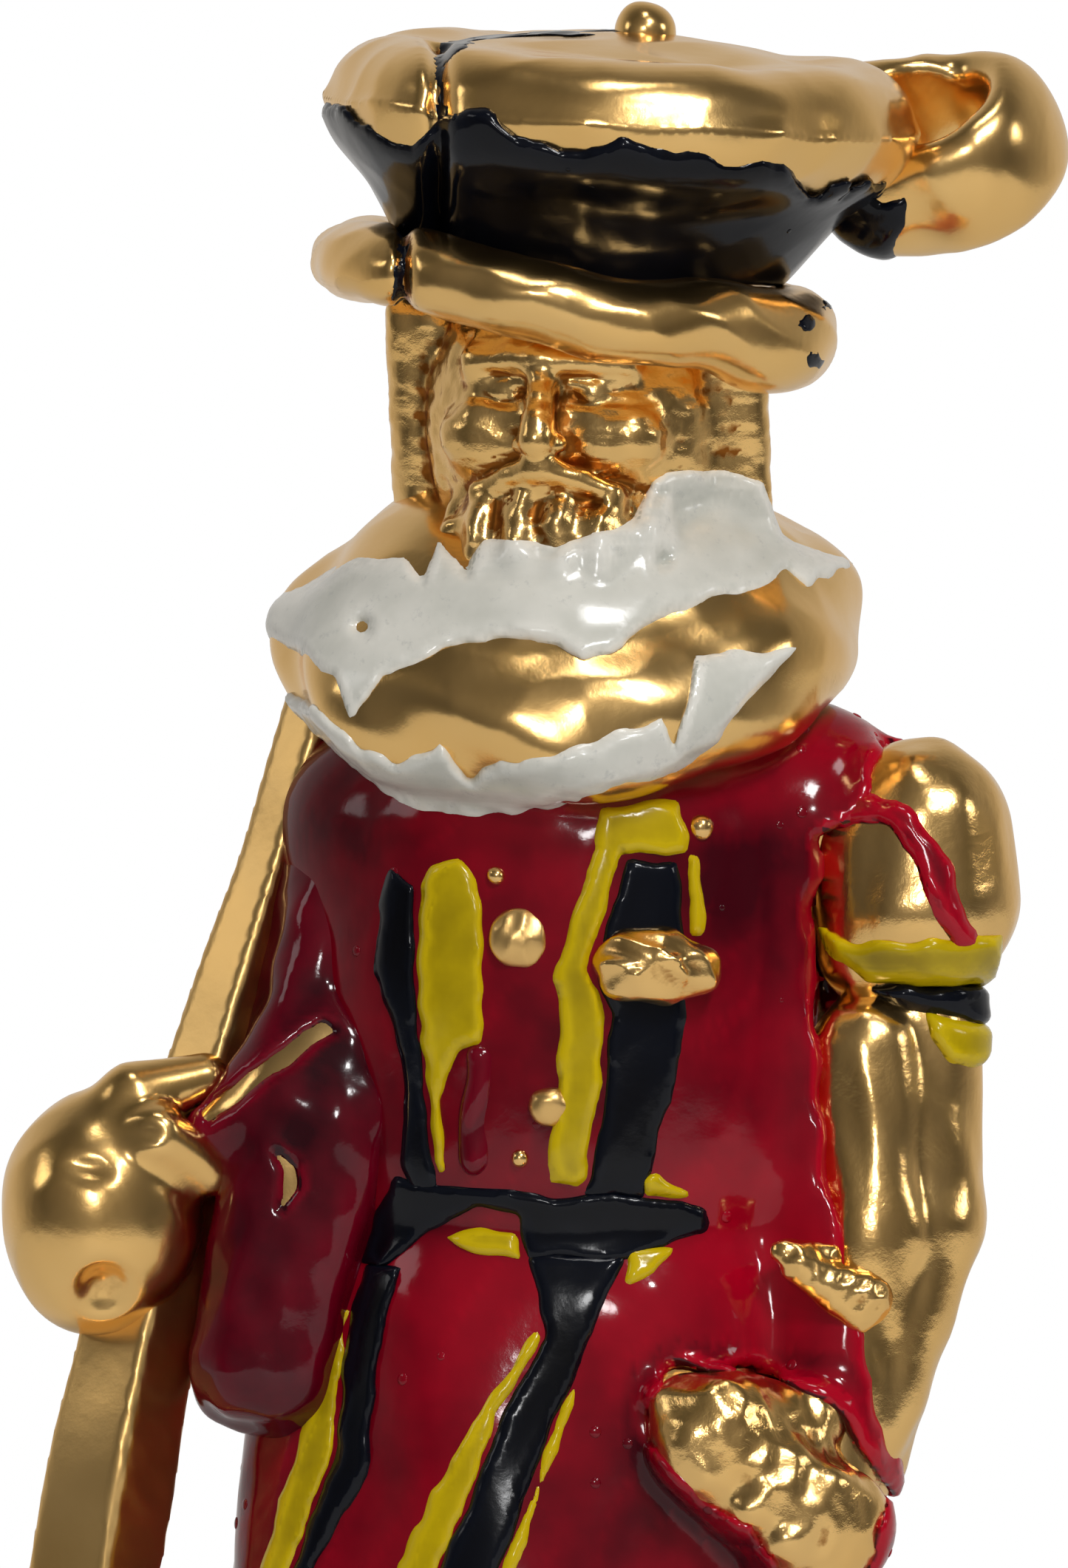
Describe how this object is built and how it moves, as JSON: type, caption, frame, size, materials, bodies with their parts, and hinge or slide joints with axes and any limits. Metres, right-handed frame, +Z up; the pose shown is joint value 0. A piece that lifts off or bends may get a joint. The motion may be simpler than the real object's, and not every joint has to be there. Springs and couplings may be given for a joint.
{
  "type": "enamelled guard figurine charm",
  "caption": "Small gilt cast-metal charm of a ceremonial guard in flat bonnet, ruff and enamelled tunic, one hand on a staff and one on the hip, with a hanging loop at the hat.",
  "frame": {"origin": "underside of the base plate, under the body axis", "axes": "+Z up along the figure's height, the figure faces -Y, its left hand is on +X"},
  "size_m": [0.012, 0.0069, 0.0264],
  "materials": {
    "gilt_metal": "polished gilt over a lumpy casting, brown patina in the recesses",
    "black_enamel": "glossy pooled enamel",
    "red_enamel": "glossy translucent enamel, darker where deep",
    "yellow_enamel": "glossy pooled enamel",
    "white_enamel": "glossy uneven enamel with pinholes"
  },
  "bodies": {
    "root": {"base_plate": "gilt_metal", "belt_black": "black_enamel", "chest_medal": "gilt_metal", "coat_button_1": "gilt_metal", "coat_button_2": "gilt_metal", "hanging_loop": "gilt_metal", "hat_band_black": "black_enamel", "hat_brim": "gilt_metal", "hat_button": "gilt_metal", "hat_crown": "gilt_metal", "hat_pleat_black": "black_enamel", "head": "gilt_metal", "left_cuff_tab": "gilt_metal", "left_hand": "gilt_metal", "left_leg": "gilt_metal", "left_lower_sleeve": "gilt_metal", "left_shoe": "black_enamel", "left_shoulder_puff": "gilt_metal", "left_sleeve_black": "black_enamel", "left_sleeve_red": "red_enamel", "left_sleeve_yellow_lower": "yellow_enamel", "left_sleeve_yellow_upper": "yellow_enamel", "left_stocking_red": "red_enamel", "loop_root_black": "black_enamel", "right_fist": "gilt_metal", "right_leg": "gilt_metal", "right_shoe": "black_enamel", "right_sleeve": "gilt_metal", "right_sleeve_red": "red_enamel", "right_stocking_red": "red_enamel", "ruff": "gilt_metal", "ruff_white_lower": "white_enamel", "ruff_white_upper": "white_enamel", "shoulder_yellow_left": "yellow_enamel", "skirt_black_left": "black_enamel", "skirt_black_right": "black_enamel", "skirt_red": "red_enamel", "skirt_yellow_left": "yellow_enamel", "skirt_yellow_middle": "yellow_enamel", "skirt_yellow_right": "yellow_enamel", "staff": "gilt_metal", "torso_black_left": "black_enamel", "torso_black_right": "black_enamel", "torso_red": "red_enamel", "torso_yellow_left": "yellow_enamel", "torso_yellow_right": "yellow_enamel", "tunic_skirt": "gilt_metal", "tunic_torso": "gilt_metal"}
  },
  "joints": []
}
